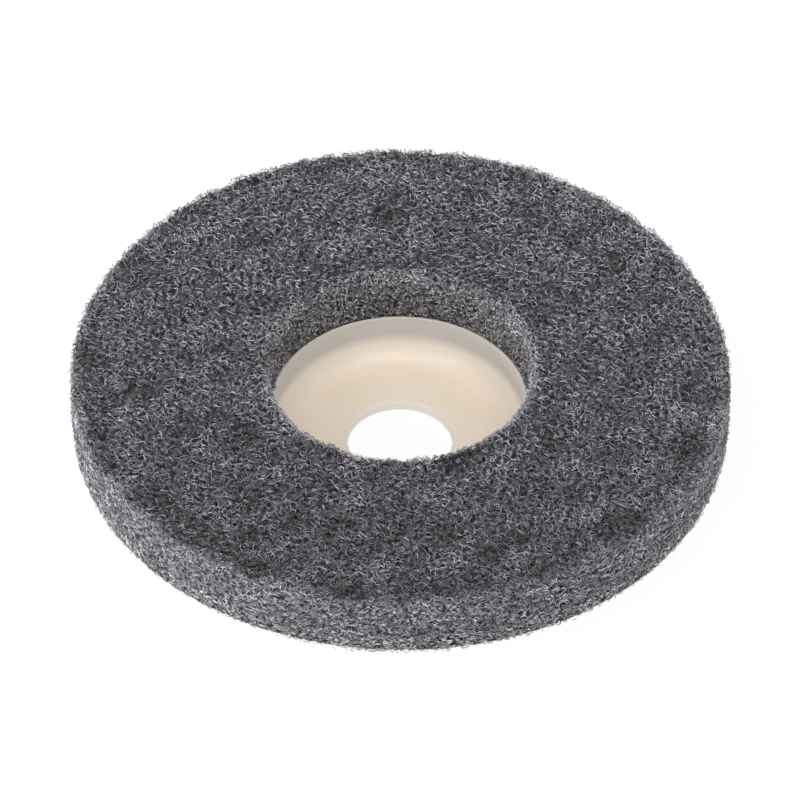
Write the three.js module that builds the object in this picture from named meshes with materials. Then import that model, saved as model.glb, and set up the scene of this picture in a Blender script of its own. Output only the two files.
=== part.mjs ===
import * as THREE from 'three';
import { mergeVertices } from 'three/addons/utils/BufferGeometryUtils.js';

// Non-woven polishing wheel for an angle grinder, in millimetres.
// A thick ring of grey nylon fibre web is glued flat on a moulded plastic backing plate.
// A lip on the plate centres the ring, and inside it the plate's middle is drawn back
// into a cup that takes the grinder's clamp nut.
// The origin is the centre of the hub's back face. +Z points to the working face.

// Fibre ring
const WHEEL_DIAMETER = 100;
const RING_BORE = 40;
const RING_THICKNESS = 9.7;
const WORKING_EDGE_RADIUS = 0.9;
const BORE_EDGE_RADIUS = 1.3;
const GLUED_EDGE_RADIUS = 0.5;

// Flange of the backing plate
const FLANGE_DIAMETER = 97.8;
const FLANGE_THICKNESS = 1.8;
const FLANGE_EDGE_RADIUS = 0.5;

// Lip that stands up inside the ring
const LIP_CLEARANCE = 0.1;
const LIP_THICKNESS = 0.5;
const LIP_HEIGHT = 1.7;
const LIP_EDGE_RADIUS = 0.2;

// Cup in the middle of the plate
const CUP_DEPTH = 5.6;
const CUP_DRAFT_DEGREES = 3;
const CUP_WALL = 1.9;
const CUP_FLOOR_THICKNESS = 1.9;
const CUP_INNER_FILLET = 3.4;
const ROOT_FILLET = 1.2;

// Hole for the grinder's spindle
const SPINDLE_BORE = 16.2;
const SPINDLE_EDGE_RADIUS = 0.4;

// Fineness of the turned surfaces
const TURN_STEPS = 96;
const ARC_TOLERANCE = 0.04;

// Heights above the hub's back face
const floorFront = CUP_FLOOR_THICKNESS;
const flangeFront = floorFront + CUP_DEPTH;
const flangeBack = flangeFront - FLANGE_THICKNESS;
const lipTop = flangeFront + LIP_HEIGHT;
const workingFace = flangeFront + RING_THICKNESS;

// One corner of a section: its radius from the axis, its height and how far it is rounded.
function corner(radius, height, rounding = 0) {
  return { place: new THREE.Vector2(radius, height), rounding };
}

// The points of one corner, as an arc that meets both of its sides smoothly.
// The arc never takes more than half of a side.
function roundedCorner(before, here, after) {
  if (here.rounding === 0) return [here.place];
  const back = before.place.clone().sub(here.place);
  const on = after.place.clone().sub(here.place);
  const halfAngle = Math.acos(back.dot(on) / (back.length() * on.length())) / 2;
  const room = Math.min(back.length(), on.length()) / 2;
  const reach = Math.min(here.rounding / Math.tan(halfAngle), room);
  const radius = reach * Math.tan(halfAngle);
  back.normalize();
  on.normalize();
  const bisector = back.clone().add(on).normalize();
  const centre = here.place.clone().addScaledVector(bisector, radius / Math.sin(halfAngle));
  const start = here.place.clone().addScaledVector(back, reach).sub(centre);
  const turn = Math.PI - 2 * halfAngle;
  const sense = Math.sign(on.cross(back));
  const widestStep = 2 * Math.acos(Math.max(1 - ARC_TOLERANCE / radius, 0));
  const steps = Math.ceil(turn / widestStep);
  const points = [];
  for (let step = 0; step <= steps; step += 1) {
    const angle = sense * turn * step / steps;
    points.push(start.clone().rotateAround(new THREE.Vector2(), angle).add(centre));
  }
  return points;
}

// Turns a closed section about the wheel's axis. The corners run anticlockwise,
// with the radius to the right and the height upwards.
function turned(corners) {
  const outline = corners.flatMap((here, index) => roundedCorner(
    corners.at(index - 1),
    here,
    corners[(index + 1) % corners.length],
  ));
  outline.push(outline[0]);
  const geometry = new THREE.LatheGeometry(outline, TURN_STEPS);
  geometry.deleteAttribute('normal');
  geometry.deleteAttribute('uv');
  geometry.rotateX(Math.PI / 2);
  const closed = mergeVertices(geometry);
  closed.computeVertexNormals();
  return closed;
}

function namedMesh(name, geometry, material) {
  const mesh = new THREE.Mesh(geometry, material);
  mesh.name = name;
  return mesh;
}

// Ring of pressed and bonded nylon fibre, with its working edges worn round by the cutting die.
function nonwovenRing() {
  const outer = WHEEL_DIAMETER / 2;
  const bore = RING_BORE / 2;
  const geometry = turned([
    corner(bore, flangeFront),
    corner(outer, flangeFront, GLUED_EDGE_RADIUS),
    corner(outer, workingFace, WORKING_EDGE_RADIUS),
    corner(bore, workingFace, BORE_EDGE_RADIUS),
  ]);
  const greyFibre = new THREE.MeshStandardMaterial({
    color: 0x5a5a5f,
    roughness: 0.9,
    metalness: 0,
  });
  return namedMesh('nonwoven_ring', geometry, greyFibre);
}

// Cream plate moulded in one shot: a flat flange that carries the ring, a lip that fits the
// ring's bore, a cup whose drafted wall starts at the lip, and a floor with the spindle hole.
function backingPlate() {
  const spindle = SPINDLE_BORE / 2;
  const flange = FLANGE_DIAMETER / 2;
  const lipOuter = RING_BORE / 2 - LIP_CLEARANCE;
  const lipInner = lipOuter - LIP_THICKNESS;
  const draft = Math.tan(THREE.MathUtils.degToRad(CUP_DRAFT_DEGREES));
  const innerWallAt = (height) => lipInner - (lipTop - height) * draft;
  const outerWallAt = (height) => innerWallAt(height) + CUP_WALL;
  const geometry = turned([
    corner(spindle, 0, SPINDLE_EDGE_RADIUS),
    corner(outerWallAt(0), 0, CUP_INNER_FILLET + CUP_WALL),
    corner(outerWallAt(flangeBack), flangeBack, ROOT_FILLET),
    corner(flange, flangeBack, FLANGE_EDGE_RADIUS),
    corner(flange, flangeFront, FLANGE_EDGE_RADIUS),
    corner(lipOuter, flangeFront),
    corner(lipOuter, lipTop, LIP_EDGE_RADIUS),
    corner(lipInner, lipTop, LIP_EDGE_RADIUS),
    corner(innerWallAt(floorFront), floorFront, CUP_INNER_FILLET),
    corner(spindle, floorFront, SPINDLE_EDGE_RADIUS),
  ]);
  const creamNylon = new THREE.MeshStandardMaterial({
    color: 0xe0cfb8,
    roughness: 0.42,
    metalness: 0,
  });
  return namedMesh('backing_plate', geometry, creamNylon);
}

const wheel = new THREE.Group();
wheel.add(backingPlate());
wheel.add(nonwovenRing());

export default wheel;
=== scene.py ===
import math

import bmesh
import bpy
import numpy as np
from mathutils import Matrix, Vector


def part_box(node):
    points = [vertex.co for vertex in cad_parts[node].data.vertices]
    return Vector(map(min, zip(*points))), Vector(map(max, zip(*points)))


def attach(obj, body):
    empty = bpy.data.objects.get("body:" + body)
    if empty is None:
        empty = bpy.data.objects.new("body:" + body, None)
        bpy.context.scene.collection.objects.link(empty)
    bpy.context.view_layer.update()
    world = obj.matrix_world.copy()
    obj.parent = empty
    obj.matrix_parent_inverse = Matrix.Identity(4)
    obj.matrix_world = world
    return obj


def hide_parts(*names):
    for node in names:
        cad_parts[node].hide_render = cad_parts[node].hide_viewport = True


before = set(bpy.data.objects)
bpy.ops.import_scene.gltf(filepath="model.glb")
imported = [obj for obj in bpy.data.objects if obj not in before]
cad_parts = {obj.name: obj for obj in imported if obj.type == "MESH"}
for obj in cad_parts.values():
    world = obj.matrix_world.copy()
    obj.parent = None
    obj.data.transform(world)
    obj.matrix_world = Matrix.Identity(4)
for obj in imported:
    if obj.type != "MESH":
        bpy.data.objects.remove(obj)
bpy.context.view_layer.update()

# Backing plate
# One cream nylon moulding: a flat flange for the ring, a thin lip that centres the ring, and
# a cup drawn back to the hub, with the spindle hole in its floor. It drops out of the mould
# with rounded corners and a satin skin, and thin places let some light through.
plate_low, plate_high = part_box("backing_plate")
ring_low, ring_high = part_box("nonwoven_ring")
FLANGE_RADIUS = plate_high.x
FLANGE_FRONT = ring_low.z
FLANGE_THICKNESS = 0.0018
FLANGE_BACK = FLANGE_FRONT - FLANGE_THICKNESS
FLANGE_ROUNDING = 0.0005
LIP_TOP = plate_high.z
LIP_OUTER = 0.0199
LIP_INNER = 0.0194
LIP_ROUNDING = 0.0002
CUP_FLOOR = 0.0019
CUP_WALL = 0.0019
CUP_FILLET = 0.0034
ROOT_FILLET = 0.0012
WALL_DRAFT = math.tan(math.radians(3))
SPINDLE_RADIUS = 0.0081
SPINDLE_ROUNDING = 0.0004
PLATE_STEPS = 240
ARC_SIDE = 0.0003
TOUCHING = 1e-6
SAME_PLACE = 1e-7


def select_places(mesh_piece, wanted):
    """Selects the vertices of a piece in edit mode whose place passes a test, and no others."""
    shape = bmesh.from_edit_mesh(mesh_piece.data)
    for element in (*shape.verts, *shape.edges, *shape.faces):
        element.select = False
    for vertex in shape.verts:
        vertex.select = bool(wanted(vertex.co))
    shape.select_flush_mode()
    bmesh.update_edit_mesh(mesh_piece.data)


def turned_piece(name, corners, steps, longest_side=None):
    """Draws a closed section from (radius, height, rounding) corners and spins it about Z."""
    bpy.ops.object.select_all(action="DESELECT")
    bpy.ops.mesh.primitive_circle_add(vertices=len(corners), radius=FLANGE_RADIUS)
    piece = bpy.context.object
    piece.name = name
    piece.data.name = name
    for vertex, (radius, height, _) in zip(piece.data.vertices, corners):
        vertex.co = (radius, 0, height)
    bpy.ops.object.mode_set(mode="EDIT")
    bpy.ops.mesh.select_mode(type="VERT")
    for radius, height, rounding in corners:
        if rounding:
            select_places(piece, lambda co: abs(co.x - radius) + abs(co.z - height) < SAME_PLACE)
            arc_steps = max(3, round(rounding / ARC_SIDE))
            bpy.ops.mesh.bevel(offset=rounding, segments=arc_steps, affect="VERTICES")
    if longest_side:
        split_long_sides(piece, longest_side)
    bpy.ops.mesh.select_all(action="SELECT")
    bpy.ops.mesh.spin(steps=steps, angle=2 * math.pi, center=(0, 0, 0), axis=(0, 0, 1))
    bpy.ops.mesh.select_all(action="SELECT")
    bpy.ops.mesh.remove_doubles(threshold=TOUCHING)
    bpy.ops.mesh.normals_make_consistent(inside=False)
    bpy.ops.object.mode_set(mode="OBJECT")
    bpy.ops.object.shade_smooth()
    return piece


def split_long_sides(piece, longest_side):
    """Cuts each straight side of a section above the glue into even lengths."""
    shape = bmesh.from_edit_mesh(piece.data)
    sides = [
        side
        for side in shape.edges
        if side.calc_length() > longest_side
        and max(vertex.co.z for vertex in side.verts) > FLANGE_FRONT + TOUCHING
    ]
    for side in sides:
        cuts = math.ceil(side.calc_length() / longest_side) - 1
        bmesh.ops.subdivide_edges(shape, edges=[side], cuts=cuts)
    bmesh.update_edit_mesh(piece.data)


def cup_wall_at(height):
    """The inner radius of the drafted cup at a height."""
    return LIP_INNER - (LIP_TOP - height) * WALL_DRAFT


backing_plate = turned_piece(
    "plate_moulding",
    [
        (SPINDLE_RADIUS, plate_low.z, SPINDLE_ROUNDING),
        (cup_wall_at(plate_low.z) + CUP_WALL, plate_low.z, CUP_FILLET + CUP_WALL),
        (cup_wall_at(FLANGE_BACK) + CUP_WALL, FLANGE_BACK, ROOT_FILLET),
        (FLANGE_RADIUS, FLANGE_BACK, FLANGE_ROUNDING),
        (FLANGE_RADIUS, FLANGE_FRONT, FLANGE_ROUNDING),
        (LIP_OUTER, FLANGE_FRONT, 0),
        (LIP_OUTER, LIP_TOP, LIP_ROUNDING),
        (LIP_INNER, LIP_TOP, LIP_ROUNDING),
        (cup_wall_at(CUP_FLOOR), CUP_FLOOR, CUP_FILLET),
        (SPINDLE_RADIUS, CUP_FLOOR, SPINDLE_ROUNDING),
    ],
    PLATE_STEPS,
)


class Value:
    """One value in a material. Sums on it add Math nodes, and node() adds any other node."""

    def __init__(self, tree, socket=None):
        self.tree = tree
        self.socket = socket

    def node(self, kind, settings=None, inputs=None, output=0):
        made = self.tree.nodes.new(kind)
        for setting, choice in (settings or {}).items():
            setattr(made, setting, choice)
        for place, value in (inputs or {}).items():
            if isinstance(value, Value):
                self.tree.links.new(value.socket, made.inputs[place])
            else:
                made.inputs[place].default_value = value
        return Value(self.tree, made.outputs[output])

    def math(self, operation, *values):
        return self.node("ShaderNodeMath", {"operation": operation}, dict(enumerate(values)))

    def clamped(self, low, high):
        """How far the value is from low to high, from 0 to 1."""
        return self.node(
            "ShaderNodeMapRange",
            {"clamp": True},
            {"Value": self, "From Min": low, "From Max": high},
        )

    def __add__(self, other):
        return self.math("ADD", self, other)

    __radd__ = __add__

    def __sub__(self, other):
        return self.math("SUBTRACT", self, other)

    def __rsub__(self, other):
        return self.math("SUBTRACT", other, self)

    def __mul__(self, other):
        return self.math("MULTIPLY", self, other)

    __rmul__ = __mul__

    def __abs__(self):
        return self.math("ABSOLUTE", self)


def blended(start, share, first, second):
    """A colour between two colours."""
    return start.node(
        "ShaderNodeMix",
        {"data_type": "RGBA"},
        {"Factor": share, 6: first, 7: second},
        output=2,
    )


def from_axis(start, place):
    """The distance of a place from the wheel's axis."""
    x, y = (start.node("ShaderNodeSeparateXYZ", None, {0: place}, output=way) for way in (0, 1))
    return (x * x + y * y).math("SQRT", x * x + y * y)


def new_finish(name, **plain):
    """A material with these plain numbers on its shader. Returns it, a start and the shader."""
    finish = bpy.data.materials.new(name)
    finish.use_nodes = True
    shader = finish.node_tree.nodes["Principled BSDF"]
    for socket, value in plain.items():
        shader.inputs[socket.replace("_", " ")].default_value = value
    return finish, Value(finish.node_tree), shader


def linked(finish, shader, links):
    """Links these values to the shader's sockets and returns the material."""
    for socket, value in links.items():
        finish.node_tree.links.new(value.socket, shader.inputs[socket])
    return finish


CREAM = (0.845, 0.735, 0.600, 1)
PALE_CREAM = (0.875, 0.775, 0.645, 1)
# painted highlight: a paler, cooler cream for the sheen on the cup's fillet
PAINTED_SHEEN = (0.925, 0.880, 0.835, 1)
# painted light: the pale greyish-pink halo round the spindle hole
PAINTED_HALO = (0.760, 0.715, 0.690, 1)
# painted shade: the grey of the cup's straight wall, which faces the ring's dark bore
PAINTED_WALL_SHADE = (0.625, 0.592, 0.562, 1)
CLOUD_SCALE = 140
GRAIN_SCALE = 5200
CUP_INSIDE_END = LIP_INNER + 0.0003
CUP_INSIDE_FULL = LIP_INNER + 0.0001
HOLE_RING_WIDTH = 0.0025
WALL_SHADE_BELOW = 0.0011
WALL_SHADE_ABOVE = 0.0008


def cream_nylon():
    """Cream nylon, with painted shade greying the cup's wall, a painted highlight on its fillet and a
    duller ring round the hole under a painted halo of light.
    """
    finish, start, shader = new_finish(
        "cream_nylon",
        Subsurface_Weight=0.35,
        Subsurface_Radius=(1.0, 0.8, 0.6),
        Subsurface_Scale=0.0012,
        IOR=1.53,
        Coat_Roughness=0.25,
    )
    place = start.node("ShaderNodeTexCoord", output="Object")
    clouds = start.node(
        "ShaderNodeTexNoise",
        None,
        {"Vector": place, "Scale": CLOUD_SCALE, "Detail": 3, "Roughness": 0.5},
    )
    grain = start.node(
        "ShaderNodeTexNoise", None, {"Vector": place, "Scale": GRAIN_SCALE, "Detail": 2}
    )
    resin = blended(start, clouds, CREAM, PALE_CREAM)
    radius = from_axis(start, place)
    inside = 1 - radius.clamped(CUP_INSIDE_FULL, CUP_INSIDE_END)
    by_hole = 1 - radius.clamped(SPINDLE_RADIUS, SPINDLE_RADIUS + HOLE_RING_WIDTH)
    above = start.node("ShaderNodeSeparateXYZ", None, {0: place}, output=2)
    wall_foot = CUP_FLOOR + CUP_FILLET
    # painted shade: greys the cup's inner wall, fading out down into the fillet
    wall_shade = inside * above.clamped(wall_foot - WALL_SHADE_BELOW, wall_foot + WALL_SHADE_ABOVE)
    # painted highlight: paler, cooler cream rising from the cup's floor to the top of the fillet
    sheen_mask = inside * above.clamped(CUP_FLOOR, wall_foot)
    with_sheen = blended(start, 0.7 * sheen_mask, resin, PAINTED_SHEEN)
    # painted light: a pale halo round the spindle hole, where the skin is also duller and has no coat
    with_halo = blended(start, 0.7 * by_hole * by_hole, with_sheen, PAINTED_HALO)
    links = {
        "Base Color": blended(start, wall_shade, with_halo, PAINTED_WALL_SHADE),
        "Roughness": 0.36 + 0.08 * clouds + 0.05 * grain + 0.25 * by_hole,
        "Coat Weight": 0.25 - 0.25 * by_hole,
        "Normal": start.node(
            "ShaderNodeBump",
            None,
            {"Strength": 0.25, "Distance": 0.00002, "Height": grain + clouds},
        ),
    }
    return linked(finish, shader, links)


backing_plate.data.materials.append(cream_nylon())
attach(backing_plate, "root")
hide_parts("backing_plate")

# Body of the fibre ring
# Crimped nylon fibres, pressed into a thick felt and bonded with a grey resin that carries
# the grit. A die cuts the ring out, so its edges are soft, and it is glued flat on the flange.
# The body is the felt below the surface's own fibres, with pits between its tufts that painted shade
# darkens.
WHEEL_RADIUS = ring_high.x
WORKING_FACE = ring_high.z
BORE_RADIUS = 0.0200
RIM_ROUNDING = 0.0005
BORE_ROUNDING = 0.0013
FOOT_ROUNDING = 0.0004
FELT_DEPTH = 0.00023
FELT_STEPS = 480
FELT_SIDE = 0.00050
TUFT_SIZE = 0.0009
TUFT_SHAPE = (1, 1, 1.8)
TUFT_HEIGHT = 0.00012
TUFT_SEED = 3
FOOT_OVERLAP = 0.00025
FOOT_SAG = 0.0005
FOOT_CLEARANCE = 0.00005
RIM_SWELL = 0.0003
SWELL_AT_FACE = 0.1
SWELL_FROM = 0.9 * WHEEL_RADIUS
RIM_BULGE = 0.0004
BULGE_TURN = math.radians(-42)
LIP_SWELL = 0.0005
LIP_SWELL_HEIGHT = 0.0006
LIP_SWELL_RADIUS = 0.0208
EDGE_RISE = 0.00034
EDGE_WIDTH = 0.0020
EDGE_SHARE = 0.3
JUST_ABOVE = 0.0001
LUMP_SIZE = 0.0035
LUMP_SHARE = 0.5
LUMP_SEED = 6
LINE_POINTS = 2000
ARC_POINTS = 13


def surface_line():
    """The ring's section from the bore's foot over the face and down to the flange's back.

    Gives the distance along it, the radius, the height and the outward direction at each point.
    """
    quarter = np.radians(np.linspace(0, 90, ARC_POINTS))
    bore_arc = (
        BORE_RADIUS + BORE_ROUNDING * (1 - np.cos(quarter)),
        WORKING_FACE - BORE_ROUNDING * (1 - np.sin(quarter)),
    )
    rim_arc = (
        WHEEL_RADIUS - RIM_ROUNDING * (1 - np.sin(quarter)),
        WORKING_FACE - RIM_ROUNDING * (1 - np.cos(quarter)),
    )
    smeared = FLANGE_RADIUS + FOOT_OVERLAP
    foot_rounding = WHEEL_RADIUS - smeared
    foot_arc = (
        WHEEL_RADIUS - foot_rounding * (1 - np.cos(quarter)),
        FLANGE_FRONT - foot_rounding * np.sin(quarter),
    )
    hem = ([smeared], [FLANGE_BACK + JUST_ABOVE])
    radii = np.concatenate([[BORE_RADIUS], bore_arc[0], rim_arc[0], foot_arc[0], hem[0]])
    heights = np.concatenate([[FLANGE_FRONT], bore_arc[1], rim_arc[1], foot_arc[1], hem[1]])
    along = np.concatenate([[0], np.cumsum(np.hypot(np.diff(radii), np.diff(heights)))])
    fine = np.linspace(0, along[-1], LINE_POINTS)
    fine_radii = np.interp(fine, along, radii)
    fine_heights = np.interp(fine, along, heights)
    out_radii = -np.gradient(fine_heights, fine)
    out_heights = np.gradient(fine_radii, fine)
    return fine, fine_radii, fine_heights, out_radii, out_heights


LINE, LINE_RADII, LINE_HEIGHTS, OUT_RADII, OUT_HEIGHTS = surface_line()
LINE_END = LINE[-1]
BORE_END = WORKING_FACE - FLANGE_FRONT
FACE_END = BORE_END + WHEEL_RADIUS - BORE_RADIUS - BORE_ROUNDING
RIM_END = FACE_END + RIM_ROUNDING * math.pi / 2 + BORE_END - RIM_ROUNDING - BORE_ROUNDING


def smooth_noise(places, size, seed, waves=32):
    """A random value at each place, mostly from -2 to 2, that changes over about this size."""
    draw = np.random.default_rng(seed)
    ways = draw.normal(size=(3, waves))
    ways *= 2 * math.pi / (size * draw.uniform(0.8, 1.6, waves) * np.linalg.norm(ways, axis=0))
    phases = draw.uniform(0, 2 * math.pi, waves)
    return np.cos(places @ ways + phases).sum(-1) / math.sqrt(waves / 2)


def numbers(items, kind, width):
    """One kind of number of all a mesh's vertices, corners or faces, as rows of this width."""
    found = np.empty(len(items) * width)
    items.foreach_get(kind, found)
    return found.reshape(-1, width)


def sprung(places):
    """Moves places near the rim outwards, most where the ring is a little out of round.

    Places on the bore's wall just above the plate's lip move inwards, over the lip, and the
    top edges of the rim and the bore rise a little, in lumps.
    """
    radius = np.hypot(places[..., 0], places[..., 1])
    turn = np.arctan2(places[..., 1], places[..., 0])
    down = ((WORKING_FACE - places[..., 2]) / (WORKING_FACE - FLANGE_FRONT)).clip(0, 1)
    swell = RIM_SWELL * (SWELL_AT_FACE + (1 - SWELL_AT_FACE) * down)
    swell += RIM_BULGE * np.cos(turn - BULGE_TURN).clip(0) ** 4
    share = ((radius - SWELL_FROM) / (WHEEL_RADIUS - SWELL_FROM)).clip(0, 1)
    above_lip = (places[..., 2] - LIP_TOP - JUST_ABOVE) / LIP_SWELL_HEIGHT
    over_lip = LIP_SWELL * (above_lip * np.exp(1 - above_lip)).clip(0) * (radius < LIP_SWELL_RADIUS)
    grown = (1 + (swell * share - over_lip) / radius)[..., None]
    from_edge = np.minimum(radius - BORE_RADIUS - BORE_ROUNDING, WHEEL_RADIUS - radius)
    near_edge = (1 - from_edge / EDGE_WIDTH).clip(0, 1) * (1 - down / EDGE_SHARE).clip(0, 1)
    rise = EDGE_RISE * near_edge * (1 + LUMP_SHARE * smooth_noise(places, LUMP_SIZE, LUMP_SEED))
    return np.concatenate([places[..., :2] * grown, places[..., 2:] + rise[..., None]], -1)


def tufted(piece):
    """Pushes a piece's free surface in and out by the tufts and notes them for its material."""
    places = numbers(piece.data.vertices, "co", 3)
    tuft = smooth_noise(places * TUFT_SHAPE, TUFT_SIZE, TUFT_SEED)
    free = places[:, 2] > FLANGE_FRONT + JUST_ABOVE
    push = TUFT_HEIGHT * tuft * free
    places += push[:, None] * numbers(piece.data.vertices, "normal", 3)
    piece.data.vertices.foreach_set("co", sprung(places).ravel())
    height = (0.5 + tuft / 4).clip(0, 1)
    piece.data.attributes.new("tuft", "FLOAT", "POINT").data.foreach_set("value", height)


GLUED_SHARE = 0.02
SECTION_START = 0.03
SECTION_SHARE = 0.95


def unrolled(piece):
    """Gives a ring a map of two strips, half a turn on each, with the section across them.

    The glued side has the first bit of a strip's width, and the free side has the rest.
    """
    mesh = piece.data
    middle_radius = (BORE_RADIUS + WHEEL_RADIUS) / 2
    middle_height = (FLANGE_FRONT + WORKING_FACE) / 2
    places = numbers(mesh.vertices, "co", 3)
    radii = np.hypot(places[:, 0], places[:, 1])
    line_angle = np.arctan2(LINE_RADII - middle_radius, LINE_HEIGHTS - middle_height)
    angle = np.arctan2(radii - middle_radius, places[:, 2] - middle_height)
    section = SECTION_START + SECTION_SHARE * np.interp(angle, line_angle, LINE) / LINE_END
    under = GLUED_SHARE * (radii - BORE_RADIUS) / (WHEEL_RADIUS - BORE_RADIUS)
    corner_vertex = numbers(mesh.loops, "vertex_index", 1)[:, 0].astype(int)
    corners = numbers(mesh.polygons, "loop_total", 1)[:, 0].astype(int)
    centres = numbers(mesh.polygons, "center", 3)
    half = np.repeat(np.arctan2(centres[:, 1], centres[:, 0]) < 0, corners)
    on_flange = np.hypot(centres[:, 0], centres[:, 1]) < FLANGE_RADIUS + 2 * FOOT_CLEARANCE
    glued = np.repeat((centres[:, 2] < FLANGE_FRONT + TOUCHING) & on_flange, corners)
    turn = np.arctan2(places[:, 1], places[:, 0])[corner_vertex] / math.pi
    turn = np.where(half, turn + 1, turn)
    turn += np.where(turn < -0.5, 2, 0) - np.where(turn > 1.5, 2, 0)
    across = np.where(glued, under[corner_vertex], section[corner_vertex])
    layer = mesh.uv_layers.new(name="OFBake")
    layer.data.foreach_set("uv", np.stack([turn, (across + half) / 2], 1).ravel())


felt_body = turned_piece(
    "web_body",
    [
        (BORE_RADIUS + FELT_DEPTH, FLANGE_FRONT, 0),
        (FLANGE_RADIUS + FOOT_CLEARANCE, FLANGE_FRONT, 0),
        (FLANGE_RADIUS + FOOT_CLEARANCE, FLANGE_FRONT - FOOT_SAG, 0),
        (WHEEL_RADIUS - FELT_DEPTH, FLANGE_FRONT - FOOT_SAG, FOOT_ROUNDING),
        (WHEEL_RADIUS - FELT_DEPTH, WORKING_FACE - FELT_DEPTH, RIM_ROUNDING),
        (BORE_RADIUS + FELT_DEPTH, WORKING_FACE - FELT_DEPTH, BORE_ROUNDING),
    ],
    FELT_STEPS,
    FELT_SIDE,
)
unrolled(felt_body)
tufted(felt_body)

# painted shade, partly the felt's dark resin: the near-black between the threads
PIT_PAINTED_SHADE = (0.011, 0.011, 0.013, 1)
FACE_THREAD = (0.17, 0.168, 0.184, 1)
EDGE_PIT_PAINTED_SHADE = (0.012, 0.012, 0.014, 1)
EDGE_THREAD = (0.34, 0.337, 0.366, 1)
CURL_SIZE = 0.0010
CURL_SIZE_STEP = 0.0001
CURL_WIDTH = 0.035
CURL_LAYERS = 6
LAYER_SHIFT = 0.01
PALE_RIM_START = 0.0018
PALE_RIM_FULL = 0.0006
# painted light: the felt on the shaded bore wall is drawn paler
PALE_BORE_START = 0.0011
PALE_BORE_FULL = 0.0004


def curls(start, place, size, width, shift):
    """A mask of curled threads: the lines where a smooth noise crosses its middle value."""
    moved = start.node(
        "ShaderNodeVectorMath", {"operation": "ADD"}, {0: place, 1: (shift, 0.7 * shift, 0.3 * shift)}
    )
    field = start.node(
        "ShaderNodeTexNoise", None, {"Vector": moved, "Scale": 1 / size, "Detail": 1, "Roughness": 0.4}
    )
    return 1 - abs(field - 0.5).clamped(0.4 * width, width)


def grey_felt():
    """Dark felt with paler curled threads, palest on the cut walls; painted shade darkens the hollows
    and the gaps between threads.
    """
    finish, start, shader = new_finish("grey_felt", Specular_IOR_Level=0.1)
    place = start.node("ShaderNodeTexCoord", output="Object")
    height = start.node("ShaderNodeAttribute", {"attribute_name": "tuft"}, output="Fac")
    laid = start.node("ShaderNodeVectorMath", {"operation": "MULTIPLY"}, {0: place, 1: TUFT_SHAPE})
    threads = curls(start, laid, CURL_SIZE, CURL_WIDTH, LAYER_SHIFT)
    for layer in range(2, CURL_LAYERS + 1):
        size = CURL_SIZE + CURL_SIZE_STEP * (layer - 1)
        more = curls(start, laid, size, CURL_WIDTH, LAYER_SHIFT * layer)
        threads = threads.math("MAXIMUM", threads, more * (1 - 0.10 * layer))
    # painted shade: threads down in the hollows between tufts darken, to a fifth at the lowest
    threads_shaded_in_hollows = threads * (0.2 + 0.8 * height.clamped(0.2, 0.7))
    radius = from_axis(start, place)
    rim = radius.clamped(WHEEL_RADIUS - PALE_RIM_START, WHEEL_RADIUS - PALE_RIM_FULL)
    # painted light: the shaded bore wall takes the paler edge colours
    bore = 1 - radius.clamped(BORE_RADIUS + PALE_BORE_FULL, BORE_RADIUS + PALE_BORE_START)
    face = blended(start, threads_shaded_in_hollows, PIT_PAINTED_SHADE, FACE_THREAD)
    edge = blended(start, threads_shaded_in_hollows, EDGE_PIT_PAINTED_SHADE, EDGE_THREAD)
    links = {
        "Base Color": blended(start, rim + bore, face, edge),
        "Roughness": 0.75 - 0.25 * threads,
        "Normal": start.node(
            "ShaderNodeBump",
            None,
            {"Strength": 1.0, "Distance": TUFT_HEIGHT, "Height": threads},
        ),
    }
    return linked(finish, shader, links)


felt_body.data.materials.append(grey_felt())
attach(felt_body, "root")
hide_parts("nonwoven_ring")

# Fibres on the ring's surface
# The felt's outermost fibres: crimped nylon about 0.09 to 0.15 mm thick with its coat of resin.
# Each dives into the felt at its ends, and some stand off with a free end, most at the cut
# edges. On the face they lie every way, and on the cut walls mostly along the pressed layers.
FIBRE_RINGS = 4
FIBRE_SIDES = 3
FIBRE_TAPER = np.array([0.6, 1, 1, 0.6])
THICKNESS_SPREAD = 0.15
THINNEST = 0.6
THICKEST = 1.5
FINER_TO_BACK = 3.0
EVEN_STEPS = np.array([0.7548776662, 0.5698402910])
EVEN_SLACK = 0.00040
WEIGHT_POINTS = 400
LENGTHS = (0.65, 1.35)
BEND = 2.4
WAVES = (0.3, 1.1)
BEATS = (0.6, 1.2)
ARCHES = (0.02, 1)
SINKS = (0.00008, 0.00030)
RISES = (0.00020, 0.00060)
RISE_CURVE = 1.4
TUFT_FOLLOWING = 0.6
NO_FIBRE_WAY = np.array([0.31, 0.17, 0.93])
# painted shade: each fibre darker towards its ends, where it dives into the felt
PAINTED_SHADE_AT_ENDS = [0.5, 1, 1, 0.5]
PALEST = 0.76
# painted light: fibres paler towards the back, by this much per metre
PAINTED_LIGHT_TO_BACK = 8.0
DULL_CURVE = 1.8
DULLEST = 0.15
# painted light: fibres on higher tufts a little paler
TUFT_PAINTED_LIGHT = 0.05
BLOTCH_SHADE = 0.11
BLOTCH_SIZE = 0.0056
BLOTCH_SEED = 4
PATCH_SIZE = 0.0024
PATCH_SEED = 5
# painted light: fibres paler near the foot of the rim, fading out at this height above the flange
FOOT_LIGHT_HEIGHT = 0.0022
CELL_START = 0.15
CELL_STEP = 0.2
LANE_START = 0.1
LANE_STEP = 0.25
LANE_WIDTH = 0.2
CAP_MAP = [[(0.04, 0.1), (0.12, 0.1), (0.08, 0.8)], [(0.88, 0.1), (0.96, 0.1), (0.92, 0.8)]]


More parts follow.
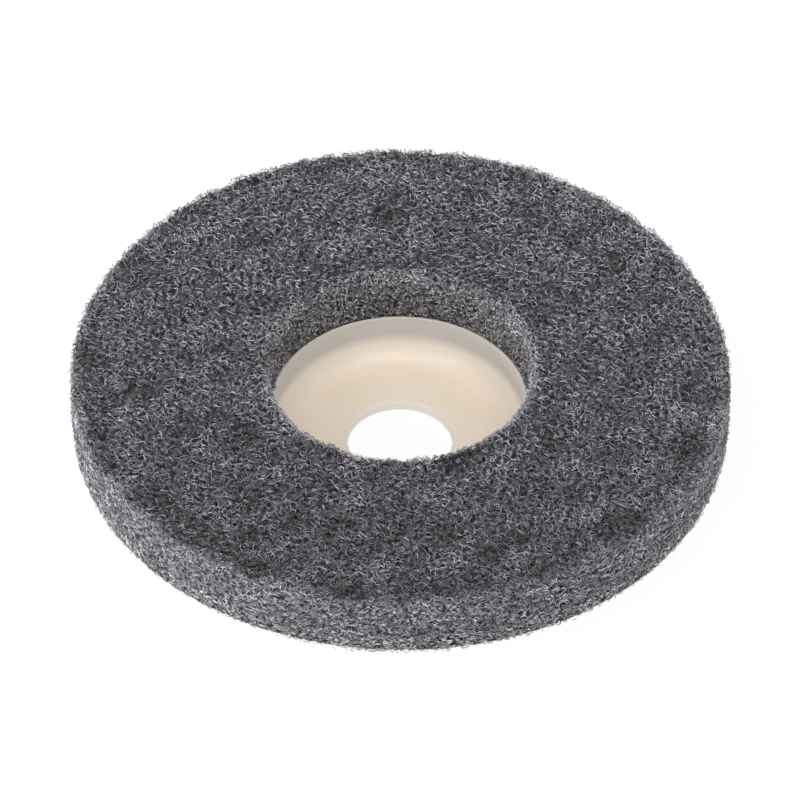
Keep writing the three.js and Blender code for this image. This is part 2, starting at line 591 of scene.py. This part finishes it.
def on_surface(along, turn, lift):
    """Places from the distance along the section, the angle round the axis and the lift."""
    radius = np.interp(along, LINE, LINE_RADII) + lift * np.interp(along, LINE, OUT_RADII)
    height = np.interp(along, LINE, LINE_HEIGHTS) + lift * np.interp(along, LINE, OUT_HEIGHTS)
    return np.stack([radius * np.cos(turn), radius * np.sin(turn), height], -1)


def fibre_middles(draw, count, first, last, tries):
    """Where each fibre's middle lies: spread evenly, or on the highest tuft of a few tries."""
    where = np.linspace(first, last, WEIGHT_POINTS)
    weight = np.cumsum(np.interp(where, LINE, LINE_RADII))
    even = (np.arange(count * tries)[:, None] * EVEN_STEPS + draw.random(2)) % 1
    even = draw.permutation(even).reshape(count, tries, 2)
    off = draw.uniform(-EVEN_SLACK, EVEN_SLACK, (2, count, tries))
    middle = np.interp(even[..., 0], weight / weight[-1], where) + off[0]
    turn = 2 * math.pi * even[..., 1] + off[1] / np.interp(middle, LINE, LINE_RADII)
    tuft = smooth_noise(on_surface(middle, turn, 0 * turn) * TUFT_SHAPE, TUFT_SIZE, TUFT_SEED)
    best = tuft.argmax(1)[:, None]
    return [np.take_along_axis(choice, best, 1) for choice in (middle, turn, tuft)]


def fibre_lines(draw, count, tries, first, last, spread, length, loft, standing):
    """Centre lines of curled fibres, and the height of the tuft below each.

    Their middles lie from first to last along the section. A small spread, in degrees, lays
    them round the wheel, and standing is the share of them that has a free end.
    """
    middle, turn, tuft = fibre_middles(draw, count, first, last, tries)
    length = draw.uniform(*LENGTHS, (count, 1)) * length
    share = np.linspace(-0.5, 0.5, FIBRE_RINGS)[None, :]
    heading = draw.normal(0, math.radians(spread), (count, 1))
    bend = draw.normal(0, BEND, (count, 1))
    wave = draw.uniform(*WAVES, (count, 1))
    phase = draw.uniform(0, 2 * math.pi, (count, 1))
    beat = draw.uniform(*BEATS, (count, 1)) * 2 * math.pi
    angle = heading + bend * share + wave * np.sin(beat * share + phase)
    step = length / (FIBRE_RINGS - 1)
    across = np.cumsum(np.sin(angle) * step, 1)
    around = np.cumsum(np.cos(angle) * step, 1)
    across = middle + across - across.mean(1, keepdims=True)
    across = np.clip(across, JUST_ABOVE, LINE_END)
    around = around - around.mean(1, keepdims=True)
    arch = draw.uniform(*ARCHES, (count, 1)) * loft
    sunk = draw.uniform(*SINKS, (count, 1))
    lift = arch * (1 - (2 * share) ** 2) - sunk + TUFT_FOLLOWING * TUFT_HEIGHT * tuft
    loose = draw.random((count, 1)) < standing
    rise = draw.uniform(*RISES, (count, 1))
    lift = np.where(loose, np.maximum(lift, -sunk + rise * (share + 0.5) ** RISE_CURVE), lift)
    radius_here = np.interp(across, LINE, LINE_RADII)
    lines = sprung(on_surface(across, turn + around / radius_here, lift))
    return lines, tuft[:, 0]


def fibre_shades(draw, lines, tuft, patches, light_to_back, foot_light):
    """How pale each fibre is, from 0 to 1: few are pale, and the web is blotched.

    It is paler towards the back and at the foot of the rim: painted light where more light falls.
    """
    middles = lines[:, 1]
    # painted light: the pale tail grows towards the back
    palest = PALEST + light_to_back * middles[:, 1]
    shade = palest * draw.random(len(lines)) ** DULL_CURVE + DULLEST + TUFT_PAINTED_LIGHT * tuft
    shade += BLOTCH_SHADE * smooth_noise(middles, BLOTCH_SIZE, BLOTCH_SEED)
    shade += patches * smooth_noise(middles * TUFT_SHAPE, PATCH_SIZE, PATCH_SEED)
    # painted light at the foot of the rim
    shade += foot_light * (1 - (middles[:, 2] - FLANGE_FRONT) / FOOT_LIGHT_HEIGHT).clip(0, 1)
    return shade.clip(0, 1)


def tube_vertices(lines, thick):
    """Vertices of tubes round these centre lines, ring by ring, thinner at both ends."""
    ahead = np.gradient(lines, axis=1)
    ahead /= np.linalg.norm(ahead, axis=2, keepdims=True)
    side = np.cross(ahead, NO_FIBRE_WAY)
    side /= np.linalg.norm(side, axis=2, keepdims=True)
    up = np.cross(side, ahead)
    size = thick[:, None, None] * FIBRE_TAPER[None, :, None]
    corners = []
    for corner in range(FIBRE_SIDES):
        turn = 2 * math.pi * corner / FIBRE_SIDES + math.pi / 2
        corners.append(lines + size * (math.cos(turn) * side + math.sin(turn) * up))
    return np.stack(corners, 2).reshape(len(lines), FIBRE_RINGS * FIBRE_SIDES, 3)


def tube_faces():
    """One tube's sides and two caps, each face with its place in the fibre's cell of a map."""
    quads = []
    quad_map = []
    for ring in range(FIBRE_RINGS - 1):
        near = CELL_START + CELL_STEP * ring
        far = near + CELL_STEP
        for corner in range(FIBRE_SIDES):
            here = ring * FIBRE_SIDES + corner
            there = ring * FIBRE_SIDES + (corner + 1) % FIBRE_SIDES
            quads.append([here, there, there + FIBRE_SIDES, here + FIBRE_SIDES])
            low = LANE_START + LANE_STEP * corner
            high = low + LANE_WIDTH
            quad_map.append([(near, low), (near, high), (far, high), (far, low)])
    last = (FIBRE_RINGS - 1) * FIBRE_SIDES
    caps = [[2, 1, 0], [last, last + 1, last + 2]]
    return np.array(quads), np.array(caps), np.array(quad_map), np.array(CAP_MAP)


def fibre_piece(
    name, seed, fibre, count, thickness, patches=0, light_to_back=PAINTED_LIGHT_TO_BACK, foot_light=0, **lay
):
    """One mesh of many loose fibres, each with its own shade and its own cell of a map."""
    draw = np.random.default_rng(seed)
    lines, tuft = fibre_lines(draw, count, **lay)
    shade = fibre_shades(draw, lines, tuft, patches, light_to_back, foot_light)
    thick = thickness / 2 * draw.normal(1, THICKNESS_SPREAD, count).clip(THINNEST, THICKEST)
    thick *= 1 - FINER_TO_BACK * lines[:, 1, 1]
    vertices = tube_vertices(lines, thick)
    quads, caps, quad_map, cap_map = tube_faces()
    offsets = (np.arange(count) * vertices.shape[1])[:, None, None]
    quad_corners = (quads[None] + offsets).reshape(-1, 4)
    cap_corners = (caps[None] + offsets).reshape(-1, 3)
    mesh = bpy.data.meshes.new(name)
    mesh.from_pydata(vertices.reshape(-1, 3), [], quad_corners.tolist() + cap_corners.tolist())
    shades = shade[:, None] * np.repeat(PAINTED_SHADE_AT_ENDS, FIBRE_SIDES)
    mesh.attributes.new("shade", "FLOAT", "POINT").data.foreach_set("value", shades.ravel())
    columns = math.ceil(math.sqrt(count))
    cells = np.stack([np.arange(count) % columns, np.arange(count) // columns], 1)
    quad_cells = (cells[:, None, None] + quad_map[None]).reshape(-1, 2)
    cap_cells = (cells[:, None, None] + cap_map[None]).reshape(-1, 2)
    layer = mesh.uv_layers.new(name="OFBake")
    layer.data.foreach_set("uv", (np.concatenate([quad_cells, cap_cells]) / columns).ravel())
    mesh.polygons.foreach_set("use_smooth", np.ones(len(mesh.polygons), bool))
    mesh.update()
    piece = bpy.data.objects.new(name, mesh)
    bpy.context.scene.collection.objects.link(piece)
    mesh.materials.append(fibre)
    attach(piece, "root")
    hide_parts("nonwoven_ring")


def coated_fibre(name, dark, light):
    """Nylon fibre in its coat of resin, from a dark colour to a light one by its shade."""
    finish, start, shader = new_finish(name, Specular_IOR_Level=0.4, IOR=1.5)
    shade = start.node("ShaderNodeAttribute", {"attribute_name": "shade"}, output="Fac")
    links = {"Base Color": blended(start, shade, dark, light), "Roughness": 0.5 - 0.15 * shade}
    return linked(finish, shader, links)


face_fibre = coated_fibre("face_fibre", (0.026, 0.025, 0.029, 1), (0.75, 0.74, 0.80, 1))
crest_fibre = coated_fibre("crest_fibre", (0.024, 0.024, 0.027, 1), (0.54, 0.53, 0.58, 1))
rim_fibre = coated_fibre("rim_fibre", (0.165, 0.162, 0.179, 1), (0.74, 0.73, 0.80, 1))
# painted light and reflection: the foot's fibres pale and warm, as lit from the floor and the cream
# plate
foot_fibre_painted_light = coated_fibre("foot_fibre_painted_light", (0.240, 0.228, 0.226, 1), (0.95, 0.905, 0.90, 1))
# painted light and reflection: pale, warm bore fibres for the cream plate's light in the shaded bore
bore_fibre_painted_light = coated_fibre("bore_fibre_painted_light", (0.019, 0.018, 0.017, 1), (0.98, 0.935, 0.895, 1))

INNER_BAND_END = BORE_END + 0.0130
MIDDLE_BAND_END = BORE_END + 0.0224
BAND_OVERLAP = 0.0004

for name, seed, first, last in (
    ("web_face_inner", 11, BORE_END, INNER_BAND_END),
    ("web_face_middle", 12, INNER_BAND_END - BAND_OVERLAP, MIDDLE_BAND_END),
    ("web_face_outer", 13, MIDDLE_BAND_END - BAND_OVERLAP, FACE_END),
):
    fibre_piece(
        name, seed, face_fibre, count=8100, thickness=0.000096, tries=1, first=first,
        last=last, spread=120, length=0.00118, loft=0.00044, standing=0.10,
    )
fibre_piece(
    "web_crest", 17, crest_fibre, count=2300, thickness=0.00013, tries=1,
    first=FACE_END - 0.0006, last=FACE_END + 0.0010,
    spread=70, length=0.00095, loft=0.00055, standing=0.32,
)
fibre_piece(
    "web_rim", 14, rim_fibre, count=7200, thickness=0.00012, tries=2,
    first=FACE_END + 0.0006, last=RIM_END,
    spread=45, length=0.00085, loft=0.00028, standing=0.06, patches=0.20, foot_light=0.65,
)
fibre_piece(
    "web_foot", 15, foot_fibre_painted_light, count=3100, thickness=0.00015, tries=1,
    first=RIM_END - 0.0004, last=LINE_END - 0.0001,
    spread=40, length=0.00080, loft=0.00008, standing=0.0, patches=0.20,
)
# painted light: the bore's fibres much paler towards its back wall
fibre_piece(
    "web_bore", 16, bore_fibre_painted_light, count=4000, thickness=0.00012, tries=1,
    first=0.0015, last=BORE_END - 0.0006,
    spread=80, length=0.00055, loft=0.00030, standing=0.15, light_to_back=20.0,
)
fibre_piece(
    "web_bore_edge", 18, rim_fibre, count=1300, thickness=0.00011, tries=1,
    first=BORE_END - 0.0010, last=BORE_END + 0.0007,
    spread=100, length=0.00090, loft=0.00045, standing=0.30,
)

# Studio
# A flat white floor, soft boxes and the camera of the photograph: a long lens, from the front
# and 43 degrees above the working face. Its axis passes just below the face's middle, so its
# tilt is a little more than its pitch.
CAMERA_DISTANCE = 0.813
CAMERA_PITCH = math.radians(43.37)
CAMERA_TILT = math.radians(43.734)
FOCAL_PIXELS = 5339
FRAME_PIXELS = 800
SENSOR_WIDTH = 36
NEAR_CLIP = 0.01
FLOOR_RADIUS = 3
PAPER_WHITE = (0.85, 0.85, 0.85, 1)
PAPER_GLOW = 1.04
GLOW_SHARE = 0.82
SKY_LIGHT = 0.45

camera_data = bpy.data.cameras.new("camera")
camera_data.sensor_width = SENSOR_WIDTH
camera_data.lens = FOCAL_PIXELS / FRAME_PIXELS * SENSOR_WIDTH
camera_data.clip_start = NEAR_CLIP
camera = bpy.data.objects.new("camera", camera_data)
camera.location = (
    0,
    -CAMERA_DISTANCE * math.cos(CAMERA_PITCH),
    WORKING_FACE + CAMERA_DISTANCE * math.sin(CAMERA_PITCH),
)
camera.rotation_euler = (math.pi / 2 - CAMERA_TILT, 0, 0)
bpy.context.scene.collection.objects.link(camera)
bpy.context.scene.camera = camera

bpy.ops.object.select_all(action="DESELECT")
bpy.ops.mesh.primitive_circle_add(vertices=96, radius=FLOOR_RADIUS, fill_type="NGON")
floor = bpy.context.object
floor.name = "floor"


def white_paper():
    """White paper that glows as on a light table, with the wheel's faint shadow on it."""
    paper = bpy.data.materials.new("white_paper")
    paper.use_nodes = True
    tree = paper.node_tree
    tree.nodes.remove(tree.nodes["Principled BSDF"])
    start = Value(tree)
    plain = start.node("ShaderNodeBsdfDiffuse", None, {"Color": PAPER_WHITE})
    glow = start.node("ShaderNodeEmission", None, {"Color": (1, 1, 1, 1), "Strength": PAPER_GLOW})
    mixed = start.node("ShaderNodeMixShader", None, {0: GLOW_SHARE, 1: plain, 2: glow})
    tree.links.new(mixed.socket, tree.nodes["Material Output"].inputs["Surface"])
    return paper


floor.data.materials.append(white_paper())


def soft_box(name, place, width, height, watts):
    """An area light of this size at a place, turned to the wheel's middle."""
    light_data = bpy.data.lights.new(name, "AREA")
    light_data.shape = "RECTANGLE"
    light_data.size = width
    light_data.size_y = height
    light_data.energy = watts
    light = bpy.data.objects.new(name, light_data)
    light.location = place
    aim = -light.location
    light.rotation_euler = aim.to_track_quat("-Z", "Y").to_euler()
    bpy.context.scene.collection.objects.link(light)


soft_box("main_box", (0.02, -0.38, 0.85), 0.90, 0.90, 5.3)
soft_box("left_strip", (-0.80, -0.30, 0.13), 0.90, 0.22, 9.4)
soft_box("right_strip", (0.72, -0.36, 0.13), 0.90, 0.22, 2.6)
soft_box("back_box", (0.0, 0.38, 0.20), 0.40, 0.15, 0.35)
soft_box("window_box", (-0.50, -0.38, 0.56), 0.18, 0.18, 0.7)

world = bpy.data.worlds.new("studio")
world.use_nodes = True
bpy.context.scene.world = world
sky_start = Value(world.node_tree)
sky_seen = sky_start.node("ShaderNodeLightPath", output="Is Camera Ray")
sky_strength = SKY_LIGHT + (1 - SKY_LIGHT) * sky_seen
background = world.node_tree.nodes["Background"]
background.inputs["Color"].default_value = (1, 1, 1, 1)
world.node_tree.links.new(sky_strength.socket, background.inputs["Strength"])
bpy.context.scene.view_settings.view_transform = "Standard"
